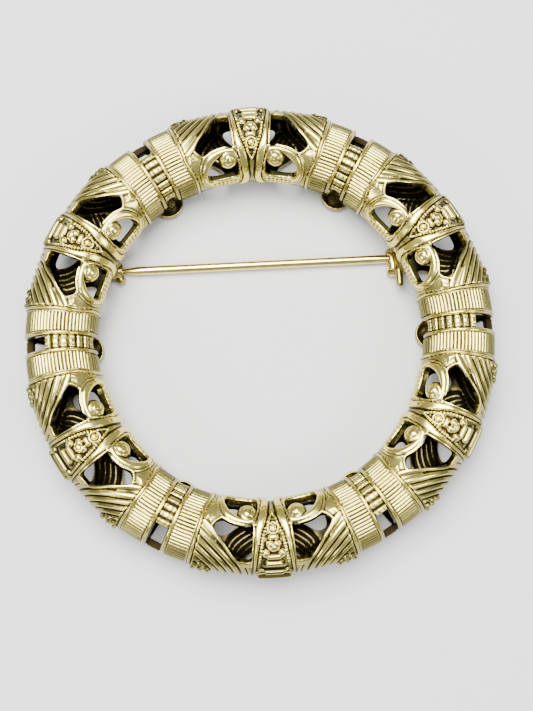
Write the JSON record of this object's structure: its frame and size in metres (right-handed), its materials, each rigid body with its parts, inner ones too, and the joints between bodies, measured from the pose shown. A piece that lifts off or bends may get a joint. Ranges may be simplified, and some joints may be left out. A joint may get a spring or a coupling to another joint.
{
  "type": "circle pin brooch",
  "caption": "Round brooch made as an open tube ring of pierced cast-look scrollwork, keystone panels and reeded barrels, with a straight hinged pin stem across the back.",
  "frame": {"origin": "under the middle of the ring, on the surface that the brooch lies on", "axes": "+Z through the ring from its back to its front, +X towards the hinge end, parallel to the pin stem, +Y towards the side of the ring that the stem is nearer to"},
  "size_m": [0.0402, 0.0408, 0.0068],
  "materials": {
    "antique_gold": "antiqued gold-tone plate, bright on the high places and dark in the hollows",
    "back_metal": "antiqued gold-tone plate, darker than the front",
    "pin_wire": "smooth polished wire",
    "rivet_metal": "worn plate"
  },
  "bodies": {
    "ring": {"front_shell": "antique_gold", "back_shell": "back_metal", "hinge_rivet": "rivet_metal"},
    "pin": {"pin_stem": "pin_wire"}
  },
  "joints": [
    {"name": "pin_hinge", "type": "hinge", "parent": "ring", "child": "pin", "pos_m": [0.01215, 0.00665, 0.0006], "axis": [0, -1, 0], "range_deg": [0, 95]}
  ]
}
